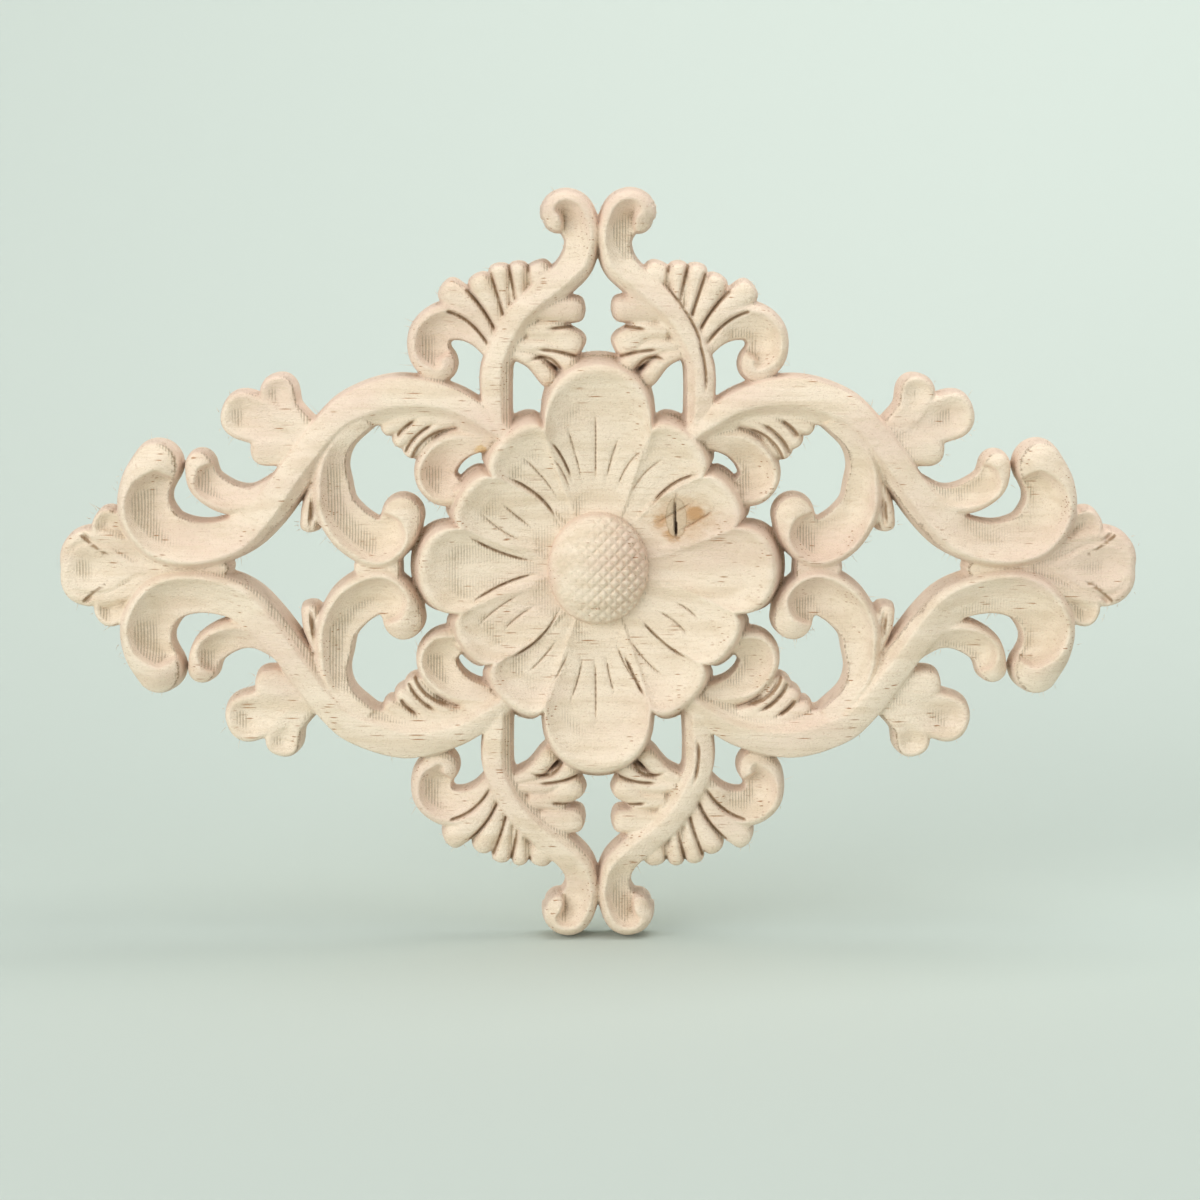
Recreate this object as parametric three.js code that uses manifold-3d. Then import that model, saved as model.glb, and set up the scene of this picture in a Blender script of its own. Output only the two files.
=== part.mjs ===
// Carved wood applique: one flat-backed, pierced piece, the same in all four quarters.
// Millimetres, +X along the length, +Z up. The flat back lies on y = 0 and the carving
// faces -Y, so that a point h millimetres above the back has y = -h.
import * as THREE from 'three';
import { mergeVertices } from 'three/addons/utils/BufferGeometryUtils.js';
import Module from 'manifold-3d';

// The overall length, and the thousandth of it in which the carving is drawn.
const LENGTH = 200;
const UNIT = LENGTH / 1000;

// The solids reach this far behind the back before they are joined and planed off there.
const BACK_CUT = 5 * UNIT;

// The scrolls and the leaves: edge height, rise of the ridge above it, slope of the walls.
const SCROLL_EDGE = 6.4;
const SCROLL_RISE = 2.4;
const SIDE_RISE = 1.9;
const LEAF_EDGE = 5.4;
const LEAF_RISE = 1.4;
const WALL_DRAFT = 0.15;
const BEND_CLEARANCE = 0.9;

// The flower: the basin round its dome, the petals' rise above that, their cup and crease.
const BASIN = 5.6;
const PETAL_RISE = 4.4;
const PETAL_CUP = 0.7;
const PETAL_CREASE = 0.35;
const PETAL_DRAFT = 0.2;
const DOME_RISE = 6.4;
const DOME_STEP = 0.8;
const DOME_HALF_WIDTH = 44 * UNIT;
const DOME_HALF_HEIGHT = 49 * UNIT;
const CUT_PITCH = 2.2;
const CUT_DEPTH = 0.45;

const wasm = await Module();
wasm.setup();

// A closed solid from points and triangles.
function solidOf(points, triangles) {
  const mesh = new wasm.Mesh({
    numProp: 3,
    vertProperties: new Float32Array(points.flat()),
    triVerts: new Uint32Array(triangles.flat()),
  });
  return new wasm.Manifold(mesh);
}

// One number on the smooth curve that passes b and c, at share s between them.
function curve(a, b, c, d, s) {
  const bend = 2 * a - 5 * b + 4 * c - d;
  const twist = 3 * (b - c) + d - a;
  return 0.5 * (2 * b + (c - a) * s + bend * s * s + twist * s * s * s);
}

// The given stations read as a smooth curve at so many places along it.
function smoothed(stations, cuts) {
  const last = stations.length - 1;
  return Array.from({ length: cuts }, (_, i) => {
    const along = (i / (cuts - 1)) * last;
    const from = Math.min(Math.floor(along), last - 1);
    const four = [from - 1, from, from + 1, from + 2];
    const near = four.map((k) => stations[Math.min(Math.max(k, 0), last)]);
    return stations[from].map((_, n) => curve(...near.map((row) => row[n]), along - from));
  });
}

// The direction of a stroke at each of its rows.
function headings(rows) {
  return rows.map((row, i) => {
    const before = rows[Math.max(i - 1, 0)];
    const after = rows[Math.min(i + 1, rows.length - 1)];
    const dx = after[0] - before[0];
    const dz = after[1] - before[1];
    const length = Math.hypot(dx, dz);
    return [dx / length, dz / length];
  });
}

// How far a row may reach to one side (-1 or 1) before it would cross the next one,
// on the inside of a tight bend.
function reachLimit(rows, i, side) {
  const [before, row, after] = [rows[i - 1], rows[i], rows[i + 1]];
  if (!before || !after) {
    return Infinity;
  }
  const [ax, az] = [row[0] - before[0], row[1] - before[1]];
  const [bx, bz] = [after[0] - row[0], after[1] - row[1]];
  const step = Math.min(Math.hypot(ax, az), Math.hypot(bx, bz));
  const turn = side * Math.atan2(ax * bz - az * bx, ax * bx + az * bz);
  return turn > 0 ? (BEND_CLEARANCE * step * UNIT) / turn : Infinity;
}

// The round end of a stroke: more rows, narrower and narrower, past its last station.
function roundedEnd(rows, shares) {
  const end = rows[rows.length - 1];
  const [dx, dz] = headings(rows.slice(-2))[1];
  return shares.map((share) => {
    const angle = (share * Math.PI) / 2;
    const reach = end[2] * Math.sin(angle);
    const width = end[2] * Math.cos(angle);
    return [end[0] + dx * reach, end[1] + dz * reach, width, end[3], end[4] * (1 - share)];
  });
}

// One carved stroke: a section with sloping walls, two edges and a ridge, and a hollow
// where it has one, carried along its stations and rounded off at its end. The ridge keeps
// to the outer side of its bend and the hollow lies on the inner one.
function stroke(shape) {
  const hollowed = shape.stations.some((station) => station.length > 3);
  const given = shape.stations.map(([x, z, w, place = shape.place ?? 0, hollow = 0]) => (
    [x, z, w, place, hollow]));
  const outer = given[given.length - 1][3] < 0 ? -1 : 1;
  const body = smoothed(given, shape.cuts ?? given.length);
  const rows = [...body, ...roundedEnd(body, shape.end ?? [0.72])];
  const along = headings(rows);
  const points = [];
  rows.forEach(([x, z, width, ridgePlace, hollow], i) => {
    const half = width * UNIT;
    const toe = half + WALL_DRAFT * (shape.edge + BACK_CUT);
    const ridge = outer * ridgePlace;
    const floor = [((ridge - 1) / 2) * half, shape.edge + shape.rise / 2 - hollow * UNIT];
    const section = [
      [-toe, -BACK_CUT],
      [-half, shape.edge],
      ...(hollowed ? [floor] : []),
      [ridge * half, shape.edge + shape.rise],
      [half, shape.edge],
      [toe, -BACK_CUT],
    ];
    const across = outer < 0 ? section.map(([side, height]) => [-side, height]).reverse() : section;
    const [dx, dz] = along[i];
    const room = [-1, 1].map((side) => Math.min(reachLimit(rows, i, side) / toe, 1));
    across.forEach(([side, height]) => {
      const aside = side * room[side > 0 ? 1 : 0];
      points.push([x * UNIT - dz * aside, -height, z * UNIT + dx * aside]);
    });
  });
  const count = points.length / rows.length;
  const triangles = [];
  for (let i = 0; i + 1 < rows.length; i += 1) {
    for (let k = 0; k < count; k += 1) {
      const a = i * count + k;
      const b = i * count + ((k + 1) % count);
      triangles.push([a, a + count, b], [b, a + count, b + count]);
    }
  }
  const finish = (rows.length - 1) * count;
  for (let k = 1; k + 1 < count; k += 1) {
    triangles.push([0, k, k + 1], [finish, finish + k + 1, finish + k]);
  }
  return solidOf(points, triangles);
}

// The carving of one quarter, in thousandths of the length from the middle:
// x, z, half width and, where they differ, the ridge's place across and the hollow's depth.
const scroll = {
  edge: SCROLL_EDGE,
  rise: SCROLL_RISE,
  cuts: 16,
  end: [0.4, 0.8],
  stations: [
    [78, 114, 11, -0.1, 0],
    [101, 131, 14, -0.1, 0],
    [135, 150, 17, -0.12, 0],
    [180, 157, 20, -0.15, 0],
    [221, 147, 19, -0.3, 0],
    [245, 131, 17, -0.5, 0],
    [276, 92, 16, -0.62, 0],
    [308, 51, 17, -0.66, 1],
    [335, 31, 19, -0.68, 3],
    [371, 23, 21, -0.7, 7],
    [399, 31, 23, -0.68, 10],
    [415, 52, 24, -0.66, 13],
    [416, 75, 23, -0.66, 15],
    [405, 96, 23, -0.66, 16],
  ],
};
const sideScroll = {
  edge: SCROLL_EDGE,
  rise: SIDE_RISE,
  cuts: 11,
  end: [0.4, 0.8],
  stations: [
    [221, 143, 17, 0, 0],
    [234, 117, 16, 0.2, 0],
    [242, 96, 16, 0.35, 3],
    [243, 76, 17, 0.45, 5],
    [239, 56, 19, 0.55, 7],
    [224, 33, 22, 0.6, 10],
    [200, 27, 23, 0.66, 12],
    [184, 38, 22, 0.66, 14],
    [179, 48, 21, 0.66, 15],
  ],
};
const stem = {
  edge: SCROLL_EDGE,
  rise: SIDE_RISE,
  cuts: 10,
  end: [0.4, 0.8],
  stations: [
    [92, 127, 11, 0.3, 0],
    [95, 174, 13, 0.3, 0],
    [90, 197, 12, 0.3, 0],
    [69, 233, 12, 0.3, 0],
    [34, 264, 13, 0.35, 1],
    [20, 280, 14, 0.4, 2.5],
    [16, 298, 15, 0.5, 5],
    [19, 313, 18, 0.6, 9],
    [29, 324, 22, 0.66, 13],
  ],
};
const leaves = [
  // The curled lobe of the outer fan and its fingers, then the web beside the stem.
  { cuts: 7, stations: [[93, 192, 7], [108, 214, 12, 0.5, 0], [124, 225, 15, 0.5, 3],
    [142, 226, 17, 0.6, 5], [154, 216, 19, 0.6, 7], [155, 201, 19, 0.6, 9],
    [149, 193, 18, 0.6, 9]] },
  { stations: [[96, 205, 5], [108, 229, 9], [121, 242, 11], [134, 252, 12]] },
  { stations: [[89, 216, 5], [99, 243, 8], [108, 260, 10]] },
  { stations: [[84, 228, 4], [88, 250, 7], [91, 270, 9]] },
  { stations: [[74, 241, 5], [74, 260, 8], [74, 273, 8]] },
  { stations: [[48, 256, 6], [54, 267, 13]] },
  // The leaf on the stem's inner side.
  { stations: [[55, 236, 7], [36, 238, 11], [19, 238, 12]] },
  { stations: [[64, 218, 7], [42, 218, 8], [21, 208, 13]] },
  { stations: [[73, 205, 5], [50, 204, 7], [28, 190, 8]] },
  { stations: [[77, 198, 5], [60, 191, 7], [47, 177, 9]] },
  // The leaf below the scroll's arch, with its curled lobe.
  { stations: [[152, 147, 7], [177, 139, 9], [193, 131, 8]] },
  { stations: [[140, 143, 7], [165, 135, 8], [182, 119, 8]] },
  { stations: [[126, 139, 6], [154, 130, 7], [172, 109, 8]] },
  { cuts: 6, stations: [[101, 121, 11], [125, 116, 14, 0.4, 2], [142, 105, 17, 0.6, 6],
    [151, 89, 18, 0.6, 8], [147, 77, 17, 0.6, 7], [134, 69, 12, 0.4, 5]] },
  // The leaf at the tip: an upper lobe and half of the middle one.
  { stations: [[398, 8, 9], [430, 26, 14], [451, 46, 14]] },
  { end: [0.5, 0.85], stations: [[394, 2, 9], [430, 10, 17], [466, 6, 33]] },
  // The three lobes of the bud leaf on the scroll's back.
  { stations: [[262, 126, 16], [282, 146, 18], [290, 158, 20]] },
  { stations: [[268, 121, 17], [300, 132, 22], [325, 138, 23]] },
  { stations: [[273, 109, 13], [294, 109, 15], [308, 106, 15]] },
  // The tendril that hooks into the volute, and the small bud between the scrolls.
  { cuts: 5, stations: [[297, 83, 7, -0.2, 0], [319, 68, 12, -0.3, 1], [342, 66, 17, -0.5, 4],
    [361, 79, 18, -0.6, 6], [366, 95, 17, -0.6, 7]] },
  { stations: [[262, 78, 4], [266, 57, 9], [268, 42, 9]] },
];

// The flower's petals in turn from the top one: the corner after each petal, how far it
// bulges past the straight line between its corners, how far the line between it and the
// next petal sways on its way to the middle, and how far its two sides dip under the petals
// beside it. The broad petals have more columns across than the narrow ones.
const broad = [-0.985, -0.75, -0.4, 0, 0.4, 0.75, 0.985];
const narrow = [-0.985, -0.55, 0, 0.55, 0.985];
const petals = [
  { corner: [50, 131], bulge: 58, sway: 4, startDip: 0, endDip: 0, across: broad },
  { corner: [97, 86], bulge: 19, sway: -14, startDip: 2.5, endDip: 4.5, across: narrow },
  { corner: [128, 41], bulge: 15, sway: 8, startDip: 0, endDip: 0, across: narrow },
  { corner: [128, -41], bulge: 38, sway: -8, startDip: 2.5, endDip: 2.5, across: broad },
  { corner: [97, -86], bulge: 15, sway: 14, startDip: 0, endDip: 0, across: narrow },
  { corner: [50, -131], bulge: 19, sway: -4, startDip: 4.5, endDip: 2.5, across: narrow },
];

// Rows of a petal from its edge inward: how far out, and shares of rise, cup and crease.
const petalRows = [
  [1, 0.82, 0, 0],
  [0.96, 1, 0.2, 0],
  [0.82, 0.68, 0.8, 0.6],
  [0.58, 0.36, 1, 1],
  [0.33, 0, 0.2, 0.5],
];

// All twelve petals: the six above and the same six turned half round.
function petalRing() {
  const half = petals.map((petal) => ({ ...petal }));
  const turned = petals.map((petal) => ({ ...petal, corner: petal.corner.map((v) => -v) }));
  const ring = [...half, ...turned];
  return ring.map((petal, i) => {
    const before = ring[(i + ring.length - 1) % ring.length];
    return { ...petal, from: before.corner, fromSway: before.sway };
  });
}

// A point of a petal's outline, at place v from its first corner (-1) to its last (1).
function petalOutline(petal, v) {
  const angle = ((v + 1) * Math.PI) / 2;
  const share = (1 - Math.cos(angle)) / 2;
  const lift = petal.bulge * Math.sin(angle) ** 0.8;
  const dx = petal.corner[0] - petal.from[0];
  const dz = petal.corner[1] - petal.from[1];
  const length = Math.hypot(dx, dz);
  return [
    petal.from[0] + dx * share - (dz / length) * lift,
    petal.from[1] + dz * share + (dx / length) * lift,
  ];
}

function flower() {
  const columns = [];
  petalRing().forEach((petal) => {
    petal.across.forEach((v) => {
      const [x, z] = petalOutline(petal, v);
      const length = Math.hypot(x, z);
      const sway = (petal.fromSway * (1 - v) + petal.sway * (1 + v)) / 2;
      const dip = (v < 0 ? -v * petal.startDip : v * petal.endDip) * UNIT;
      const lip = BASIN + petalRows[0][1] * PETAL_RISE;
      const spread = (length * UNIT + PETAL_DRAFT * (lip + BACK_CUT)) / length;
      const column = [[x * spread, BACK_CUT, z * spread]];
      petalRows.forEach(([out, rise, cup, crease]) => {
        const aside = 4 * out * (1 - out) * sway;
        const px = x * out + (z / length) * aside;
        const pz = z * out - (x / length) * aside;
        const creased = v === 0 ? PETAL_CREASE * crease : 0;
        const hollowed = creased + cup * (dip + PETAL_CUP * (1 - v * v));
        column.push([px * UNIT, hollowed - BASIN - rise * PETAL_RISE, pz * UNIT]);
      });
      columns.push(column);
    });
  });
  const rows = columns[0].length;
  const points = [...columns.flat(), [0, BACK_CUT, 0], [0, -BASIN, 0]];
  const backMiddle = points.length - 2;
  const frontMiddle = points.length - 1;
  const triangles = [];
  columns.forEach((column, i) => {
    const here = i * rows;
    const next = ((i + 1) % columns.length) * rows;
    for (let k = 0; k + 1 < rows; k += 1) {
      triangles.push([here + k, here + k + 1, next + k]);
      triangles.push([here + k + 1, next + k + 1, next + k]);
    }
    triangles.push([here + rows - 1, frontMiddle, next + rows - 1], [next, backMiddle, here]);
  });
  return solidOf(points, triangles);
}

// Height of the dome in the flower's middle, before it is cut into diamonds.
function domeHeight(x, z) {
  const square = (x / DOME_HALF_WIDTH) ** 2 + (z / DOME_HALF_HEIGHT) ** 2;
  return BASIN + DOME_STEP + (DOME_RISE - DOME_STEP) * Math.sqrt(Math.max(1 - square, 0));
}

// The dome, cut across both ways on the slant: every crossing is low, every middle high.
function dome() {
  const cells = Math.ceil(DOME_HALF_HEIGHT / CUT_PITCH) + 1;
  const span = 2 * cells + 1;
  const points = [];
  const place = (i, j) => {
    const a = i * CUT_PITCH;
    const b = j * CUT_PITCH;
    return [(a - b) * Math.SQRT1_2, (a + b) * Math.SQRT1_2];
  };
  for (let i = -cells; i <= cells; i += 1) {
    for (let j = -cells; j <= cells; j += 1) {
      const [x, z] = place(i, j);
      points.push([x, CUT_DEPTH - domeHeight(x, z), z], [x, 0, z]);
    }
  }
  const triangles = [];
  for (let i = 0; i + 1 < span; i += 1) {
    for (let j = 0; j + 1 < span; j += 1) {
      const loop = [[i, j], [i + 1, j], [i + 1, j + 1], [i, j + 1]].map(([m, n]) => (m * span + n) * 2);
      const [x, z] = place(i - cells + 0.5, j - cells + 0.5);
      const middle = points.length;
      points.push([x, -domeHeight(x, z), z]);
      loop.forEach((corner, k) => triangles.push([corner, loop[(k + 1) % 4], middle]));
      triangles.push([loop[0] + 1, loop[2] + 1, loop[1] + 1], [loop[0] + 1, loop[3] + 1, loop[2] + 1]);
    }
  }
  const rim = [];
  for (let k = 0; k + 1 < span; k += 1) {
    rim.push(k * span * 2);
  }
  for (let k = 0; k + 1 < span; k += 1) {
    rim.push(((span - 1) * span + k) * 2);
  }
  for (let k = span - 1; k > 0; k -= 1) {
    rim.push((k * span + span - 1) * 2);
  }
  for (let k = span - 1; k > 0; k -= 1) {
    rim.push(k * 2);
  }
  rim.forEach((corner, k) => {
    const next = rim[(k + 1) % rim.length];
    triangles.push([corner, corner + 1, next], [next, corner + 1, next + 1]);
  });
  const block = solidOf(points, triangles);
  const round = new THREE.CylinderGeometry(1, 1, 3 * (BASIN + DOME_RISE), 40);
  round.scale(DOME_HALF_WIDTH, 1, DOME_HALF_HEIGHT);
  return block.intersect(solidFrom(round));
}

// A closed solid from one of the library's own shapes.
function solidFrom(geometry) {
  geometry.deleteAttribute('normal');
  geometry.deleteAttribute('uv');
  const merged = mergeVertices(geometry);
  const mesh = new wasm.Mesh({
    numProp: 3,
    vertProperties: new Float32Array(merged.attributes.position.array),
    triVerts: new Uint32Array(merged.index.array),
  });
  return new wasm.Manifold(mesh);
}

// The same solid on the other side of the middle, in X or in Z or in both.
function mirrored(solid, sx, sz) {
  const mesh = solid.getMesh();
  const points = Float32Array.from(mesh.vertProperties, (value, i) => {
    const axis = i % 3;
    return axis === 0 ? value * sx : axis === 2 ? value * sz : value;
  });
  const triangles = Uint32Array.from(mesh.triVerts);
  if (sx * sz < 0) {
    for (let i = 0; i < triangles.length; i += 3) {
      [triangles[i], triangles[i + 1]] = [triangles[i + 1], triangles[i]];
    }
  }
  return new wasm.Manifold(new wasm.Mesh({ numProp: 3, vertProperties: points, triVerts: triangles }));
}

const leafStrokes = leaves.map((shape) => stroke({ edge: LEAF_EDGE, rise: LEAF_RISE, ...shape }));
const strokes = [stroke(scroll), stroke(sideScroll), stroke(stem), ...leafStrokes];
const quarter = strokes.reduce((a, b) => a.add(b));
const sides = [[1, 1], [-1, 1], [1, -1], [-1, -1]];
const quarters = sides.map(([sx, sz]) => mirrored(quarter, sx, sz));
const carved = [...quarters, dome()].reduce((a, b) => a.add(b), flower());

const slab = new THREE.BoxGeometry(2 * LENGTH, 2 * BACK_CUT, 2 * LENGTH);
slab.translate(0, BACK_CUT, 0);
const finished = carved.subtract(solidFrom(slab)).getMesh();

const geometry = new THREE.BufferGeometry();
geometry.setAttribute('position', new THREE.Float32BufferAttribute(finished.vertProperties, 3));
geometry.setIndex(new THREE.Uint32BufferAttribute(finished.triVerts, 1));
const body = geometry.toNonIndexed();
body.computeVertexNormals();

const wood = new THREE.MeshStandardMaterial({ color: 0xe9d8bd, roughness: 0.85, metalness: 0 });
const piece = new THREE.Mesh(body, wood);
piece.name = 'applique';

const applique = new THREE.Group();
applique.name = 'carved_applique';
applique.add(piece);
export default applique;
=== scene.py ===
import math

import bpy
import numpy as np
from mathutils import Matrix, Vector


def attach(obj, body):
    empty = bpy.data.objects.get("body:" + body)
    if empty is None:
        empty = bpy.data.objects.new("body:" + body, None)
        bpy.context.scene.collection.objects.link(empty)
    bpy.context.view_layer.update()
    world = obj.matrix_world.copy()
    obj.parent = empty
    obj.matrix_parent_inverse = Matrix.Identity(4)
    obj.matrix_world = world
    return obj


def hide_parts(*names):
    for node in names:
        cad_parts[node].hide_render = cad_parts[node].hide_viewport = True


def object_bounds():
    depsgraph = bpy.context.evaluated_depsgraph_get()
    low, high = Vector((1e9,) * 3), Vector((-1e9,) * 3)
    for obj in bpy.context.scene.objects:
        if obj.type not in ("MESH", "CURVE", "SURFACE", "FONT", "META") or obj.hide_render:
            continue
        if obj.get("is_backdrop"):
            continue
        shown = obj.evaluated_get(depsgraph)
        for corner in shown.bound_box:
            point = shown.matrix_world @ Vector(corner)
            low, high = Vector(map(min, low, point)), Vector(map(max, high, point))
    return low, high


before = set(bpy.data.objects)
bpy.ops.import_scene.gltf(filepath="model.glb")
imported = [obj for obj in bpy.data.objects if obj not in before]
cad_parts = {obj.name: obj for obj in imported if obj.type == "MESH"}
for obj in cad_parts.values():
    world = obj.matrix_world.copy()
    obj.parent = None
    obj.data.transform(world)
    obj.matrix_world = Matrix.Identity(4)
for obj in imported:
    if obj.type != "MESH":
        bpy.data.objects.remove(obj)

bl_info = {
    "name": "Carved wood applique",
    "version": (1, 0, 0),
    "blender": (4, 5, 0),
    "location": "3D view > Sidebar > Applique",
    "description": "A pierced onlay of bare wood: its carved relief, raised fibres and studio stage",
    "category": "Object",
}

CAD_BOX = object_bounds()
NODE = "applique"
MM = 0.001

# The scrolls, leaves and petals are drawn in thousandths of the length. Other figures are in
# millimetres, unless a comment says otherwise.
UNIT = 0.2
# The spacing of the rows that a stroke's curve is worked out at.
ROW_STEP = 0.3
# How far the walls lean out for each millimetre down, round the scrollwork and the petals.
WALL_DRAFT = 0.05
PETAL_DRAFT = 0.2
# The height that stands for no wood at all.
DEEPEST = -5.0
# How far a leaf's middle stands above its edge, and how deep a hollow has to be to give a
# stroke the full form of a scoop or a cup.
LEAF_RISE = 1.5
FULL_HOLLOW = 0.6
# How far a finger's tip falls off, and how far before its end a scroll's scoop begins to
# close, in half widths.
FINGER_TIP_FALL = 1.1
HEAD_CLOSE = 0.3
# The dome: the step up to it from the flower's basin, and half its width and height.
DOME_STEP = 0.5
DOME_HALVES = (46.5 * UNIT, 52 * UNIT)
# The low ledge round the flower, where the scrolls and leaves meet it.
LEDGE_HEIGHT = 4.4
LEDGE_REACH = 1.8
# The quarter is worked out this far past both axes, and the whole this far past the outline.
PAST_AXES = 8
MARGIN = 1.2
# The carving wanders a little off its drawing and swells a little: how far, over what length.
DRIFT = (0.13, 9)
SWELL = (0.05, 4)
# The cuts are softened this much after the rest.
CUT_ROUNDING = 0.07
# The start of every random draw.
SEED = 11

# What the material reads off each point: how far it lies below the wood that is near and far around it
# (walls, below the lowest face, have a small even crease), and the cuts' lines. The material paints shade
# into the creases and the cuts from these. Nothing is drawn on the skin at the back.
MARKS = ("crease", "scoop", "cut")
NEAR_AND_FAR = (0.8, 2.2)
WALL_CREASE = 0.05
LOWEST_FACE = 3.0
CUT_LINE_SPREAD = 0.12
CUT_LINE_STRENGTH = 1.6
BACK_SKIN = 0.3
# The ring round the dome that has no crease, in shares of the dome's halves.
DOME_RING = (0.96, 1.2)

# One quarter of the scrollwork, the others are mirrored: x, z, half width, the ridge's
# place across (1 is the left edge) and the depth of the hollow beside it.
SCROLL = (
    (78, 114, 11, -0.1), (101, 131, 14, -0.15), (135, 150, 17, -0.2), (180, 157, 20, -0.28),
    (221, 147, 19, -0.36), (245, 131, 17, -0.36), (276, 92, 16, -0.34), (308, 51, 17, -0.42, 1),
    (335, 30, 19, -0.52, 3), (371, 22, 21, -0.64, 7), (403, 29, 24, -0.68, 10),
    (420, 52, 24.5, -0.66, 14), (420, 75, 23, -0.45, 15), (410, 95, 22, 0.15, 11),
)
SIDE_SCROLL = (
    (221, 143, 17, 0.1), (238, 119, 12, 0.3, 1), (247, 97, 14, 0.42, 6), (247, 76, 17, 0.52, 10),
    (243, 54, 19, 0.6, 13), (227, 33, 22, 0.66, 15), (204, 22, 22, 0.66, 16),
    (188, 33, 20, 0.6, 14), (182, 48, 19, -0.1, 9),
)
STEM = (
    (92, 127, 12, 0.35), (95, 174, 14, 0.35), (90, 197, 13, 0.35), (69, 233, 13, 0.35),
    (34, 264, 14, 0.35, 1), (20, 280, 15, 0.4, 2.5), (15, 298, 15, 0.5, 6), (17, 312, 17, 0.52, 10),
    (25, 326, 19.5, 0.5, 12), (33, 327, 17, 0.4, 12), (37, 320, 13, -0.35, 6),
)
CURLS = (
    ((93, 192, 7, 0.4), (108, 214, 12, 0.5), (124, 225, 16, 0.5, 4),
     (142, 226, 18, 0.55, 7), (155, 215, 19, 0.58, 11), (156, 199, 19, 0.55, 12),
     (149, 188, 18, 0.3, 9)),
    ((101, 121, 11, 0.3), (125, 116, 14, 0.4, 2), (142, 105, 17, 0.6, 8),
     (151, 89, 19, 0.66, 12), (147, 77, 18, 0.66, 11), (134, 69, 13, 0.4, 5)),
    ((297, 80, 7, -0.2), (319, 65, 11, -0.3, 1), (342, 64, 15, -0.5, 6),
     (364, 77, 15.5, -0.6, 10), (370, 94, 14, 0.05, 8)),
)
# The leaves' fingers, from root to tip: x, z, half width.
FINGERS = (
    ((96, 205, 7), (108, 229, 10), (121, 242, 12), (134, 252, 12)),
    ((89, 216, 7), (99, 243, 10), (108, 260, 10)),
    ((84, 228, 6), (88, 250, 8), (91, 270, 9)),
    ((74, 241, 6), (74, 260, 8), (74, 273, 8)),
    ((48, 256, 6), (54, 267, 13)),
    ((55, 236, 8), (38, 238, 12), (25, 238, 12)),
    ((64, 218, 8), (42, 218, 10), (27, 208, 13)),
    ((73, 205, 6), (50, 204, 9), (28, 190, 9)),
    ((77, 198, 6), (60, 191, 8), (47, 177, 9)),
    ((152, 147, 8), (177, 139, 10), (193, 131, 8)),
    ((140, 143, 8), (165, 135, 10), (182, 119, 8)),
    ((126, 139, 7), (154, 130, 9), (172, 109, 8)),
    ((262, 78, 4), (266, 57, 9), (268, 42, 9)),
)
# The cupped lobes of the tip leaf and of the bud leaf: the last number is the cup's depth.
LOBES = (
    ((398, 8, 9, 0, 1), (430, 26, 15, 0, 5), (454, 39, 16, 0, 9)),
    ((394, 2, 9), (430, 9, 17, 0, 4), (469, 5, 32, 0, 9)),
    ((268, 122, 14), (289, 144, 15, 0, 3), (295, 161, 17, 0, 7)),
    ((268, 121, 17), (300, 132, 22, 0, 4), (326, 140, 23, 0, 9)),
    ((273, 109, 13), (294, 110, 16, 0, 1), (306, 110, 16, 0, 1)),
)
# Webs that join the two scrolls on each side where they touch on the long axis, and lower
# ones that close the roots of the fans.
AXIS_WEBS = (
    ((404, 0, 8), (372, 0, 8), (352, 0, 7), (345, 0, 4)),
    ((184, 0, 8), (207, 0, 9), (223, 0, 5)),
)
AXIS_WEB_EDGE = 6.6
WEB_RISE = 0.3
FAN_WEBS = (
    ((78, 238, 9), (66, 256, 10), (56, 266, 9)),
    ((86, 200, 9), (72, 214, 9), (56, 220, 9)),
)
FAN_WEB_EDGE = 5.3
# The V cuts between the leaves' fingers, each through three points from the tip inwards.
LEAF_CUTS = (
    (137, 236, 114, 223, 95, 196), (120, 255, 102, 234, 91, 211), (98, 270, 89, 243, 84, 223),
    (83, 281, 77, 255, 75, 236), (65, 281, 63, 262, 63, 247), (4, 224, 29, 222, 48, 220),
    (8, 191, 36, 200, 60, 201), (30, 175, 45, 194, 68, 188), (183, 124, 176, 132, 165, 139),
    (176, 108, 165, 124, 147, 135), (170, 102, 156, 121, 130, 130), (476, 31, 463, 20, 446, 9),
    (262, 80, 264, 59, 267, 34),
)
LEAF_CUT_HALF = 0.4
LEAF_CUT_DEPTH = 1.6

# The flower's petals in turn from the top one, half of them: the corner after each petal,
# its bulge, the sway of the line after it, and how far its two sides dip.
PETALS = (
    ((50, 131), 58, 4, 0, 0),
    ((97, 86), 19, -14, 2.5, 4.5),
    ((128, 41), 15, 8, 0, 0),
    ((128, -41), 38, -8, 2.5, 2.5),
    ((97, -86), 15, 14, 0, 0),
    ((50, -131), 19, -4, 4.5, 2.5),
)
# How far out, and the shares of rise and cup there.
PETAL_SHAPE = (
    (0.0, 0.0, 0.0), (0.33, 0.0, 0.2), (0.58, 0.33, 1.0), (0.8, 0.6, 0.95), (0.9, 0.82, 0.6),
    (0.95, 0.99, 0.15), (0.975, 1.0, 0.0), (1.0, 0.84, 0.0),
)

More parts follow.
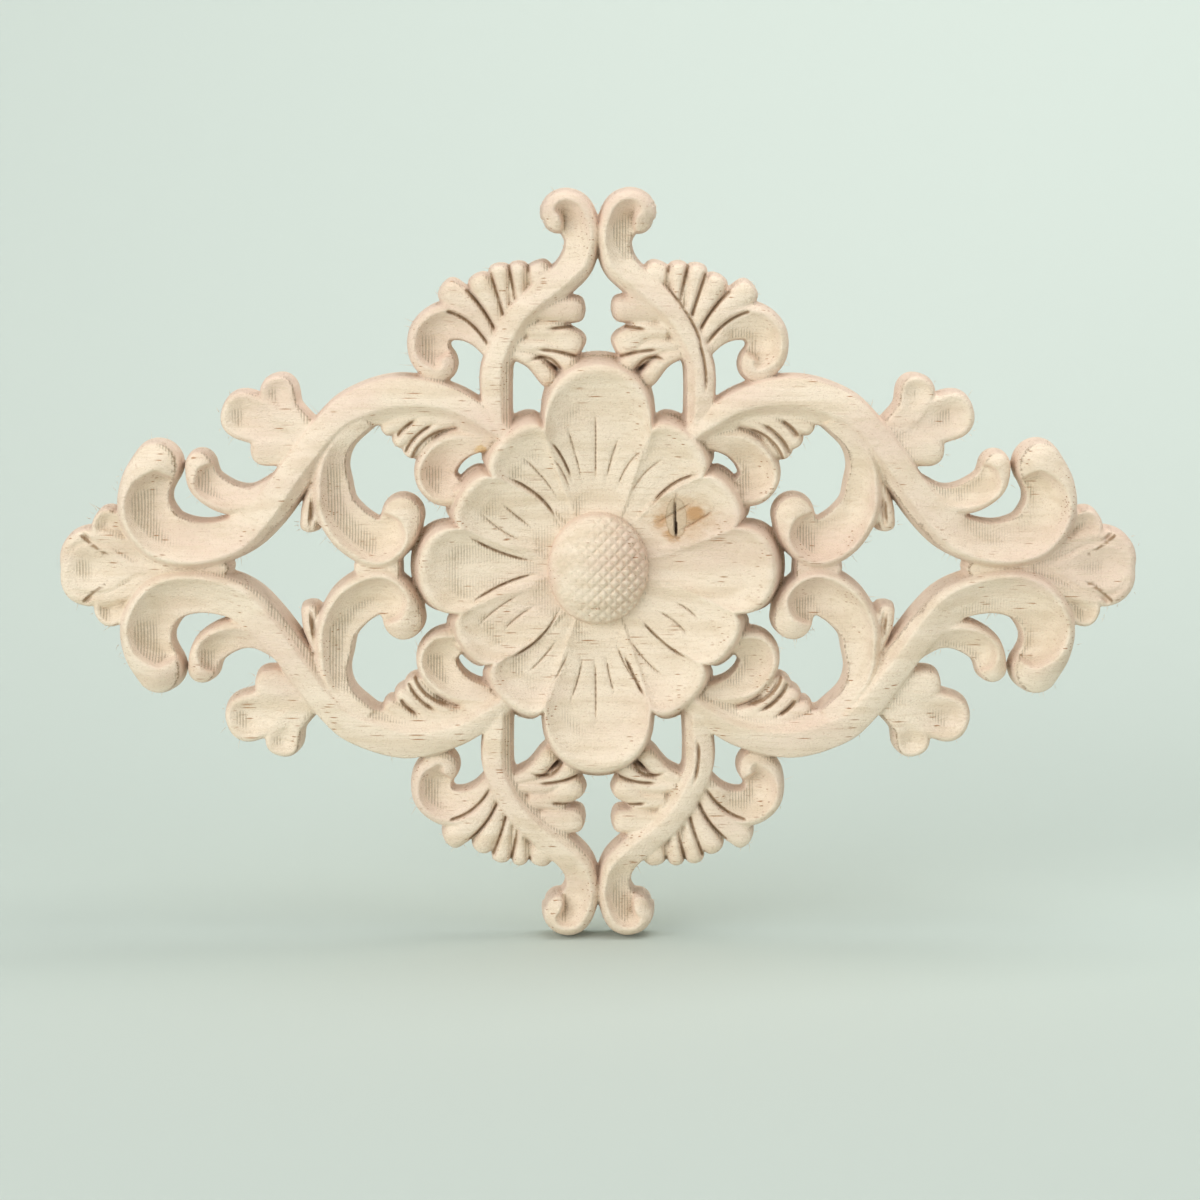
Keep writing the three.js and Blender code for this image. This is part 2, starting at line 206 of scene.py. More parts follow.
# The veins cut into the petals, each through three points: x, z, x, z, x, z.
VEINS = (
    (-0.5, 30.4, -0.4, 22.6, -0.5, 14.7), (-5.8, 26.6, -4.4, 22.0, -2.6, 15.0),
    (4.0, 24.4, 2.6, 20.6, 1.3, 15.0), (-14.3, 21.1, -10.6, 17.4, -7.2, 12.8),
    (-8.6, 20.9, -6.6, 18.0, -4.9, 13.9), (8.8, 22.4, 5.5, 19.1, 3.3, 13.9),
    (12.8, 20.6, 8.6, 17.6, 5.5, 12.5), (-22.0, 11.0, -18.0, 7.3, -13.4, 4.9),
    (-17.8, 12.3, -15.2, 9.9, -11.6, 7.1), (-22.5, -10.9, -18.6, -7.3, -13.4, -4.4),
    (-17.5, -11.6, -14.9, -9.0, -11.2, -6.8), (-13.1, -19.3, -10.3, -16.7, -7.2, -12.8),
    (-8.5, -21.5, -7.0, -18.7, -5.2, -15.4), (-2.8, -16.1, -3.7, -20.6, -5.4, -25.3),
    (-0.6, -15.6, -0.4, -22.5, -0.4, -29.6), (1.5, -15.9, 2.2, -20.2, 3.3, -23.8),
    (3.3, -13.5, 5.0, -17.8, 7.6, -21.7), (5.5, -12.6, 8.7, -16.9, 13.1, -20.6),
    (10.7, -7.9, 14.2, -9.8, 17.4, -13.3), (14.0, -6.2, 16.6, -7.5, 19.0, -9.8),
    (10.1, 7.9, 14.1, 10.3, 18.0, 12.6), (14.7, 6.7, 18.7, 9.1, 22.2, 11.5),
)
# The cuts between neighbouring petals where they show, painted dark as shade in them.
PETAL_CUTS = (
    (-18.2, 17.6, -11.2, 13.6, -7.0, 7.7), (-25.0, 7.0, -18.0, 3.0, -10.7, 1.2),
    (-24.5, -7.0, -17.5, -2.9, -10.7, -1.0), (-18.0, -17.2, -11.1, -13.1, -7.0, -7.3),
    (20.0, 18.2, 13.4, 15.4, 9.2, 10.3), (18.4, -17.4, 12.0, -13.6, 7.4, -8.6),
    (-9.2, 24.0, -6.6, 20.6, -4.6, 15.6), (9.0, -24.4, 6.8, -20.2, 4.6, -15.4),
)
# The ragged grooves torn beside two of the stems.
TORN_GROOVES = (
    (10.5, 54.1, 16.7, 46.1, 19.1, 39.9), (17.8, 43.9, 19.5, 37.6, 19.7, 31.9),
    (18.3, -31.4, 18.7, -35.6, 17.5, -41.2),
)
# The knot in the upper right petal: its middle and the crack down it.
KNOT = (14.4, 9.4)
KNOT_CRACK = (14.2, 13.6, 14.3, 9.0, 14.6, 4.7)
KNOT_CRACK_HALF = 0.3
# Half the width of each kind of cut, and its depth in shares of the veins' depth.
CUTS = ((VEINS, 0.28, 1.0), (PETAL_CUTS, 0.36, 1.5), (TORN_GROOVES, 0.42, 1.5))
# How dark the veins are painted as shade in their grooves, where 1 is the leaves' cuts.
VEIN_DARKNESS = 0.7

# Where the cutter has torn the wood, tufts of raised fibres: x, z, spread.
TUFTS = (
    (32.0, -15.5, 3.0), (63.5, 22.0, 3.0), (-28.0, 12.0, 2.5), (-62.5, 17.5, 2.5),
    (-53.0, 5.5, 2.0), (52.5, 10.5, 2.5), (57.0, 5.0, 2.5), (30.5, 12.5, 2.0), (-64.0, 22.5, 2.0),
    (-8.5, 61.0, 1.0), (8.5, 61.0, 1.0), (36.0, 4.5, 1.5),
)
# The fibres: least and most height of the root, length and half thickness, the rings of
# each, and the spacing of the coarser relief that they are rooted in.
FIBRE_ROOTS = (3.6, 6.0)
FIBRE_LENGTHS = (0.3, 1.3)
FIBRE_HALVES = (0.045, 0.08)
FIBRE_RINGS = 5
FIBRE_GRID = 0.4

# The camera that sees the object as the photograph does, in millimetres and degrees.
CAMERA_DISTANCE = 562.0
CAMERA_RISE = 7.0
CAMERA_AIM = (0.37, 0.0, -6.7)
VIEW_ACROSS = 223.8
SENSOR = 36.0

# The stage, in metres: how far the floor runs forward and behind, the bend up into the
# backdrop, the backdrop's height and half its width, and what the wall light is turned to.
# The bend is wide so that the applique can be seen from behind too.
FLOOR_FRONT = -1.2
FLOOR_BACK = 0.08
BEND = 0.6
BACKDROP_RISE = 1.1
STAGE_HALF = 1.4
WALL_AIM = (0.12, 0.44, 0.0)
# The lights: name, place, what it is turned to, size and share of the main light's power.
LIGHTS = (
    ("key_light", (-0.8, -0.88, 0.22), "carving", 1.1, 1.0),
    ("side_light", (0.95, -0.8, 0.3), "carving", 1.0, 0.19),
    ("top_light", (0.1, -0.35, 0.95), "carving", 0.7, 0.09),
    ("wall_light", (0.25, 0.1, 0.7), "wall", 0.6, 0.25),
)


def linear(hex_colour):
    """An sRGB hex colour as linear red, green and blue."""
    parts = [int(hex_colour[i:i + 2], 16) / 255 for i in (1, 3, 5)]
    return tuple(p / 12.92 if p <= 0.04045 else ((p + 0.055) / 1.055) ** 2.4 for p in parts)


def node(tree, kind, inputs=None, **settings):
    """Adds a node with its settings; each input takes a value, a node or an output."""
    made = tree.nodes.new(kind)
    for name, value in settings.items():
        setattr(made, name, value)
    for key, value in (inputs or {}).items():
        if isinstance(value, bpy.types.Node):
            value = value.outputs[0]
        if isinstance(value, bpy.types.NodeSocket):
            tree.links.new(value, made.inputs[key])
        else:
            made.inputs[key].default_value = value
    return made


def smooth_rows(stations):
    """Stations as a smooth curve of rows in millimetres. What a station leaves out is 0."""
    rows = np.array([tuple(s) + (0, 0)[:5 - len(s)] for s in stations], float)
    rows[:, [0, 1, 2, 4]] *= UNIT
    length = np.hypot(*np.diff(rows[:, :2], axis=0).T).sum()
    last = len(rows) - 1
    along = np.linspace(0, last, int(length / ROW_STEP) + 2)
    first = np.minimum(along.astype(int), last - 1)
    a, b, c, d = (rows[np.clip(first + k, 0, last)] for k in (-1, 0, 1, 2))
    s = (along - first)[:, None]
    return 0.5 * (2 * b + (c - a) * s + (2 * a - 5 * b + 4 * c - d) * s ** 2
                  + (3 * (b - c) + d - a) * s ** 3)


def scroll_section(t, place, hollow, edge, rise):
    """Height across a scroll: a crisp ridge, a flank or rounded shoulder outside it, and a
    flat band or a scoop inside it."""
    scooped = np.clip(hollow / FULL_HOLLOW, 0, 1)
    outer = np.clip((t - place) / (1 - place), 0, 1)
    inner = np.clip((place - t) / (1 + place), 0, 1)
    flank = 1 - (1 - outer) ** 1.6
    shoulder = outer ** 2
    band = 0.55 * inner ** 2
    scoop = inner ** 1.1
    drop = (flank + band) * (1 - scooped) + (shoulder + scoop) * scooped
    return edge + rise * (1 - drop) - hollow * np.sin(0.82 * np.pi * inner ** 0.78)


def leaf_section(t, place, hollow, edge, rise):
    """Height across a finger or a cupped lobe: full, with a rim where it is cupped."""
    r = np.abs(t)
    full = np.clip(hollow / FULL_HOLLOW, 0, 1)
    return edge + rise * (1 - r ** (3 + 1.5 * full)) - hollow * np.clip(1 - (r / 0.8) ** 2, 0, 1)


def near_line(x, z, line, reach):
    """Which points lie in the line's box or that near to it."""
    low, high = line.min(0) - reach, line.max(0) + reach
    return np.flatnonzero((x > low[0]) & (x < high[0]) & (z > low[1]) & (z < high[1]))


def stroke_height(x, z, stations, head, edge, rise):
    """Height of one carved stroke over the points, falling below zero outside it. Its head
    is rolled (a scoop closed by its rim), blunt (a finger's square tip) or cupped."""
    section = scroll_section if head == "rolled" else leaf_section
    power = {"rolled": 2, "blunt": 3, "cupped": 2.3}[head]
    rows = smooth_rows(stations)
    last = len(rows) - 1
    side = -1 if rows[:, 3].sum() < 0 else 1
    height = np.full(x.shape, DEEPEST)
    reach = rows[:, 2].max() + WALL_DRAFT * (edge - DEEPEST) + 0.5  # and a little to spare
    near = near_line(x, z, rows[:, :2], reach)
    heading = np.gradient(rows[:, :2], axis=0)
    pace = np.hypot(*heading.T)
    heading /= pace[:, None]
    change = np.gradient(rows, axis=0) / pace[:, None]
    # About 20000 points at a time, each against every row of the curve.
    for part in np.array_split(near, max(len(near) // 20000, 1)):
        dx = x[part][:, None] - rows[:, 0]
        dz = z[part][:, None] - rows[:, 1]
        best = (np.hypot(dx, dz) - rows[:, 2]).argmin(1)
        pick = np.arange(len(part))
        dx, dz = dx[pick, best], dz[pick, best]
        hx, hz = heading[best].T
        ahead = dx * hx + dz * hz
        aside = (dz * hx - dx * hz) * side
        nearby = np.clip(ahead, -ROW_STEP, ROW_STEP)
        width = rows[best, 2] + change[best, 2] * nearby
        place = rows[best, 3] * side
        hollow = np.maximum(rows[best, 4] + change[best, 4] * nearby, 0)
        at_end = (best == last) & (ahead > 0)
        at_start = (best == 0) & (ahead < 0)
        past = np.maximum(ahead, 0)
        rounded = (past ** power + np.abs(aside) ** power) ** (1 / power)
        distance = np.where(at_end, rounded, np.abs(aside))
        across = aside / width
        if head == "blunt":
            # The tip's own half width there, never under 0.3 of the whole.
            capped = np.maximum(width ** power - past ** power, (0.3 * width) ** power)
            across = np.where(at_end, aside / capped ** (1 / power), across)
            inside = section(np.clip(across, -1, 1), place, hollow, edge, rise)
            inside = inside - FINGER_TIP_FALL * (past / width) ** 2
        else:
            left = (last - best) * pace[best] / (HEAD_CLOSE * width)
            closed = np.where(at_end, 1.0, np.clip(1 - left, 0, 1))
            closed = closed * closed * (3 - 2 * closed)
            open_level = section(np.clip(across, -1, 1), place, hollow, edge, rise)
            rim_level = section(np.clip(distance / width, 0, 1), place, hollow, edge, rise)
            inside = open_level * (1 - closed) + rim_level * closed
        level = inside - np.maximum(distance - width, 0) / WALL_DRAFT
        level = np.where(at_start, level + ahead / WALL_DRAFT, level)
        height[part] = np.maximum(level, DEEPEST)
    return height


def petal_ring():
    """The flower's outline and the figures of its petals, sampled round the middle."""
    ring = list(PETALS) + [((-c[0], -c[1]),) + tuple(rest) for c, *rest in PETALS]
    table = []
    for i, (corner, bulge, sway, start_dip, end_dip) in enumerate(ring):
        start, start_sway = np.array(ring[i - 1][0], float), ring[i - 1][2]
        along = np.array(corner, float) - start
        normal = np.array([-along[1], along[0]]) / np.hypot(*along)
        for v in np.linspace(-1, 1, 61)[:-1]:
            angle = (v + 1) * math.pi / 2
            lift = bulge * math.sin(angle) ** 0.8
            x, z = (start + along * (1 - math.cos(angle)) / 2 + normal * lift) * UNIT
            dip = (-v * start_dip if v < 0 else v * end_dip) * UNIT
            lean = (start_sway * (1 - v) + sway * (1 + v)) / 2 * UNIT
            table.append((math.atan2(z, x), math.hypot(x, z), lean, dip, v))
    table = np.array(sorted(table))
    wrapped = [table[-1] - (2 * math.pi, 0, 0, 0, 0), *table, table[0] + (2 * math.pi, 0, 0, 0, 0)]
    return np.array(wrapped).T


def flower_height(x, z, sizes):
    """Height of the petals over the points."""
    angles, radii, leans, dips, places = petal_ring()
    span = np.hypot(x, z) + 1e-6
    angle = np.arctan2(z, x)
    straight = angle
    # Follows the swaying lines between the petals back to straight ones.
    for _ in range(6):
        out = span / np.interp(straight, angles, radii)
        held = np.clip(out, 0, 1)
        lean = 4 * held * (1 - held) * np.interp(straight, angles, leans)
        straight = angle + np.arctan2(lean, span)
        straight = (straight + math.pi) % (2 * math.pi) - math.pi
    radius = np.interp(straight, angles, radii)
    out = span / radius
    held = np.clip(out, 0, 1)
    step, rises, cups = np.array(PETAL_SHAPE).T
    v = np.interp(straight, angles, places)
    rise = np.interp(held, step, rises)
    cup = np.interp(held, step, cups) * (np.interp(straight, angles, dips) + sizes["cup"] * (1 - v ** 2))
    level = sizes["basin"] + sizes["petal_rise"] * rise - cup
    beyond = np.maximum(span - radius, 0)
    ledge = LEDGE_HEIGHT - 0.5 * beyond - np.maximum(beyond - LEDGE_REACH, 0) / WALL_DRAFT
    return np.maximum(np.maximum(level - beyond / PETAL_DRAFT, ledge), DEEPEST)


def dome_height(x, z, sizes):
    """Height of the dome in the flower's middle, cut across on the slant both ways, deepest
    towards its right and lower rim."""
    square = (x / DOME_HALVES[0]) ** 2 + (z / DOME_HALVES[1]) ** 2
    round_top = np.sqrt(np.maximum(1 - square, 0))
    height = sizes["basin"] + DOME_STEP + (sizes["dome_rise"] - DOME_STEP) * round_top
    cut = np.zeros_like(x)
    for across in (x + z, x - z):
        phase = (across * math.sqrt(0.5) / sizes["cut_pitch"]) % 1
        cut = np.maximum(cut, 1 - np.minimum(phase, 1 - phase) / 0.3)
    deeper = np.clip(0.55 + 0.6 * x / DOME_HALVES[0] - 0.1 * z / DOME_HALVES[1], 0.3, 1.3)
    return np.where(square < 1, height - sizes["cut_depth"] * cut * deeper, DEEPEST)


def cut_share(x, z, points, half_width, open_start=False):
    """Share of a V cut's depth over the points: 1 on its line, and less and narrower over
    the last quarter towards its ends."""
    a, b, c = np.reshape(points, (3, 2))
    s = np.linspace(0, 1, 60)[:, None]
    line = (1 - s) * (1 - 2 * s) * a + 4 * s * (1 - s) * b + s * (2 * s - 1) * c
    near = near_line(x, z, line, half_width)
    cut = np.zeros_like(x)
    if len(near):
        apart = np.hypot(x[near][:, None] - line[:, 0], z[near][:, None] - line[:, 1])
        share = s[apart.argmin(1), 0]
        taper = np.clip((1 - share if open_start else np.minimum(share, 1 - share)) * 4, 0, 1)
        width = half_width * (0.5 + 0.5 * taper)
        cut[near] = taper * np.clip(1 - apart.min(1) / width, 0, 1)
    return cut


def softened(field, spread):
    """The field blurred by a bell curve of that many cells."""
    reach = int(3 * spread + 1)
    bell = np.exp(-0.5 * (np.arange(-reach, reach + 1) / spread) ** 2)
    bell /= bell.sum()
    for axis in (0, 1):
        padded = np.pad(field, [(reach, reach) if k == axis else (0, 0) for k in (0, 1)], mode="edge")
        size = field.shape[axis]
        field = sum(w * padded.take(range(k, k + size), axis) for k, w in enumerate(bell))
    return field


def ripple(x, z, size, rng):
    """A smooth irregular wave between about -1 and 1, with hills of about that size."""
    total = np.zeros_like(x)
    for _ in range(6):
        angle, phase = rng.uniform(0, 2 * math.pi, 2)
        pitch = size * rng.uniform(1.4, 3.2)
        total += np.sin((x * math.cos(angle) + z * math.sin(angle)) * 2 * math.pi / pitch + phase)
    return total / 3.4


def sampled(field, grid, x, z):
    """The field read between its points, at x and z in millimetres."""
    low, step = grid
    i = np.clip((x - low[0]) / step, 0, field.shape[0] - 1.001)
    j = np.clip((z - low[1]) / step, 0, field.shape[1] - 1.001)
    a, b = i.astype(int), j.astype(int)
    s, t = i - a, j - b
    return ((1 - s) * (1 - t) * field[a, b] + s * (1 - t) * field[a + 1, b]
            + (1 - s) * t * field[a, b + 1] + s * t * field[a + 1, b + 1])


def mirrored(quarter, past, joined):
    """The whole grid from one quarter that runs past both axes by that many cells, joined
    there with its mirror images."""
    folded = quarter[past:, past:].copy()
    parts = (quarter[past::-1, past:], quarter[past:, past::-1], quarter[past::-1, past::-1])
    folded[:past + 1] = joined(folded[:past + 1], parts[0])
    folded[:, :past + 1] = joined(folded[:, :past + 1], parts[1])
    folded[:past + 1, :past + 1] = joined(folded[:past + 1, :past + 1], parts[2])
    whole = np.concatenate([folded[:0:-1], folded])
    return np.concatenate([whole[:, :0:-1], whole], axis=1)


def relief(sizes, step):
    """The whole carving as heights over a grid, the lines of its cuts that are painted dark as shade, and
    the grid's corner and step."""
    # One quarter: the leaves with their cuts, and the scrolls and webs beside them.
    count = [int(math.ceil((CAD_BOX[1][axis] / MM + MARGIN) / step)) for axis in (0, 2)]
    past = int(PAST_AXES / step)
    axes = [np.arange(-past, n + 1) * step for n in count]
    shape = [len(axis) for axis in axes]
    x, z = (g.ravel() for g in np.meshgrid(*axes, indexing="ij"))
    leaves = [(strokes, head, sizes["leaf_edge"], LEAF_RISE)
              for strokes, head in ((FINGERS, "blunt"), (LOBES, "cupped"), (CURLS, "rolled"))]
    scrolls = (
        ((SCROLL,), "rolled", sizes["scroll_edge"], sizes["scroll_rise"]),
        ((SIDE_SCROLL, STEM), "rolled", sizes["scroll_edge"], sizes["side_rise"]),
        (AXIS_WEBS, "blunt", AXIS_WEB_EDGE, WEB_RISE),
        (FAN_WEBS, "blunt", FAN_WEB_EDGE, WEB_RISE),
    )
    layers = []
    for groups in (leaves, scrolls):
        layer = np.full(x.shape, DEEPEST)
        for strokes, head, edge, rise in groups:
            for stations in strokes:
                layer = np.maximum(layer, stroke_height(x, z, stations, head, edge, rise))
        layers.append(layer)
    leaf, scroll = layers
    lines = np.zeros_like(x)
    for points in LEAF_CUTS:
        in_mm = np.array(points) * UNIT
        lines = np.maximum(lines, cut_share(x, z, in_mm, LEAF_CUT_HALF, True))
    leaf = np.where(leaf > 1, leaf - LEAF_CUT_DEPTH * lines, leaf)
    lines[scroll > leaf] = 0
    height = mirrored(np.maximum(leaf, scroll).reshape(shape), past, np.maximum)
    lines = mirrored(lines.reshape(shape), past, np.maximum)

    # The whole, wandering a little off the drawing, with the flower, its cuts and the dome.
    low = (-count[0] * step, -count[1] * step)
    grid = (low, step)
    axes = [np.arange(-n, n + 1) * step for n in count]
    x, z = np.meshgrid(*axes, indexing="ij")
    rng = np.random.default_rng(SEED)
    drift = [DRIFT[0] * ripple(x, z, DRIFT[1], rng) for _ in range(2)]
    height = sampled(height, grid, x + drift[0], z + drift[1])
    lines = sampled(lines, grid, x + drift[0], z + drift[1])
    x_flat, z_flat = x.ravel(), z.ravel()
    flower = flower_height(x_flat, z_flat, sizes).reshape(x.shape)
    lines[flower > height] = 0
    height = softened(np.maximum(height, flower), sizes["tool_radius"] / step)
    dome = dome_height(x, z, sizes)
    veins = np.zeros_like(x_flat)
    for cuts, half_width, share in CUTS:
        for points in cuts:
            veins = np.maximum(veins, share * cut_share(x_flat, z_flat, points, half_width))
    veins = veins.reshape(x.shape)
    crack = cut_share(x_flat, z_flat, KNOT_CRACK, KNOT_CRACK_HALF).reshape(x.shape)
    height = np.maximum(height - sizes["vein_depth"] * veins - crack, dome)
    height = softened(height, CUT_ROUNDING / step)
    height += SWELL[0] * ripple(x, z, SWELL[1], rng) * np.clip(height / 4, 0, 1)
    lines = np.maximum(lines, VEIN_DARKNESS * veins)
    front = -CAD_BOX[0][1] / MM
    return np.minimum(height, front - 0.02), lines, grid


def solid_mesh(name, height, grid):
    """A closed mesh: the relief in front, its outline, and a flat back at y = 0. Each square
    of the grid is two triangles, and those that cross height 0 are cut off there."""
    (low_x, low_z), step = grid
    rows, columns = height.shape
    flat = height.ravel()
    i, j = np.meshgrid(np.arange(rows - 1), np.arange(columns - 1), indexing="ij")
    a = (i * columns + j).ravel()
    b, c, d = a + columns, a + columns + 1, a + 1
    some = np.maximum.reduce([flat[a], flat[b], flat[c], flat[d]]) > 0
    turned = ((i + j) % 2 == 1).ravel() & some
    plain = some & ~turned
    cells = [np.stack(t, 1) for t in (
        (a[plain], b[plain], c[plain]), (a[plain], c[plain], d[plain]),
        (a[turned], b[turned], d[turned]), (b[turned], c[turned], d[turned]))]
    corners = np.concatenate(cells)
    inside = flat[corners] > 0
    kept = inside.sum(1)
    total = rows * columns

    def rotated(selected, first):
        """The selected triangles, turned so that the first corner is that one."""
        order = (first[:, None] + np.arange(3)) % 3
        return np.take_along_axis(corners[selected], order, 1)

    def edge_keys(p, q):
        return np.minimum(p, q).astype(np.int64) * total + np.maximum(p, q)

    one = kept == 1
    two = kept == 2
    p1, q1, r1 = rotated(one, inside[one].argmax(1)).T
    p2, q2, r2 = rotated(two, (~inside[two]).argmax(1)).T
    keys = np.concatenate([edge_keys(p1, q1), edge_keys(p1, r1), edge_keys(p2, q2), edge_keys(p2, r2)])
    cuts, where = np.unique(keys, return_inverse=True)
    where = total + where
    k1, k2 = len(p1), len(p2)
    pq1, pr1, pq2, pr2 = np.split(where, [k1, 2 * k1, 2 * k1 + k2])
    triangles = np.concatenate([
        corners[kept == 3], np.stack([p1, pq1, pr1], 1),
        np.stack([pq2, q2, r2], 1), np.stack([pq2, r2, pr2], 1)])
    start, end = cuts // total, cuts % total
    share = np.clip(flat[start] / (flat[start] - flat[end]), 0.1, 0.9)
    grid_x = low_x + np.repeat(np.arange(rows), columns) * step
    grid_z = low_z + np.tile(np.arange(columns), rows) * step
    cut_x = grid_x[start] + share * (grid_x[end] - grid_x[start])
    cut_z = grid_z[start] + share * (grid_z[end] - grid_z[start])
    x = np.concatenate([grid_x, cut_x, grid_x])
    y = np.concatenate([-flat, np.zeros(len(cuts)), np.zeros(total)])
    z = np.concatenate([grid_z, cut_z, grid_z])
    behind = np.where(triangles < total, triangles + total + len(cuts), triangles)[:, ::-1]
    faces = np.concatenate([triangles, behind])
    used, faces = np.unique(faces, return_inverse=True)
    points = np.stack([x, y, z], 1)[used] * MM
    return mesh_from(name, points, faces.reshape(-1, 3))


def mesh_from(name, points, faces):
    """A triangle mesh from arrays."""
    mesh = bpy.data.meshes.new(name)
    mesh.vertices.add(len(points))
    mesh.vertices.foreach_set("co", np.asarray(points, np.float32).ravel())
    mesh.loops.add(3 * len(faces))
    mesh.loops.foreach_set("vertex_index", np.asarray(faces, np.int32).ravel())
    mesh.polygons.add(len(faces))
    mesh.polygons.foreach_set("loop_start", np.arange(0, 3 * len(faces), 3, dtype=np.int32))
    mesh.update(calc_edges=True)
    return mesh


def thinned(mesh, most):
    """The mesh with at most that many triangles, flat places first."""
    if len(mesh.polygons) <= most:
        return mesh
    helper = placed("thinning", mesh)
    modifier = helper.modifiers.new("thin", "DECIMATE")
    modifier.ratio = most / len(mesh.polygons)
    result = bpy.data.meshes.new_from_object(helper.evaluated_get(bpy.context.evaluated_depsgraph_get()))
    bpy.data.objects.remove(helper)
    return result


def fit_to_frame(mesh):
    """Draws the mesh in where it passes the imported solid's box, and gives its points."""
    points = np.empty(3 * len(mesh.vertices), np.float32)
    mesh.vertices.foreach_get("co", points)
    points = points.reshape(-1, 3)
    for axis in (0, 2):
        for end, sign in ((CAD_BOX[0][axis], -1), (CAD_BOX[1][axis], 1)):
            reach = (points[:, axis] * sign).max()
            if reach > end * sign:
                outer = points[:, axis] * sign > 0
                points[outer, axis] *= end * sign / reach * 0.9999
    points[:, 1] = np.clip(points[:, 1], CAD_BOX[0][1], 0)
    mesh.vertices.foreach_set("co", points.ravel())
    mesh.update()
    return points


def shaded(mesh, corner_degrees=60):
    """Smooth shading, with real corners kept sharp."""
    mesh.polygons.foreach_set("use_smooth", np.ones(len(mesh.polygons), bool))
    mesh.set_sharp_from_angle(angle=math.radians(corner_degrees))


def placed(name, data):
    """An object in the scene."""
    made = bpy.data.objects.new(name, data)
    bpy.context.scene.collection.objects.link(made)
    return made


def ready_piece(name, mesh, material):
    """A piece that rides on the frame and takes the wood's finish."""
    piece = placed(name, mesh)
    mesh.materials.append(material)
    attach(piece, "root")
    return piece


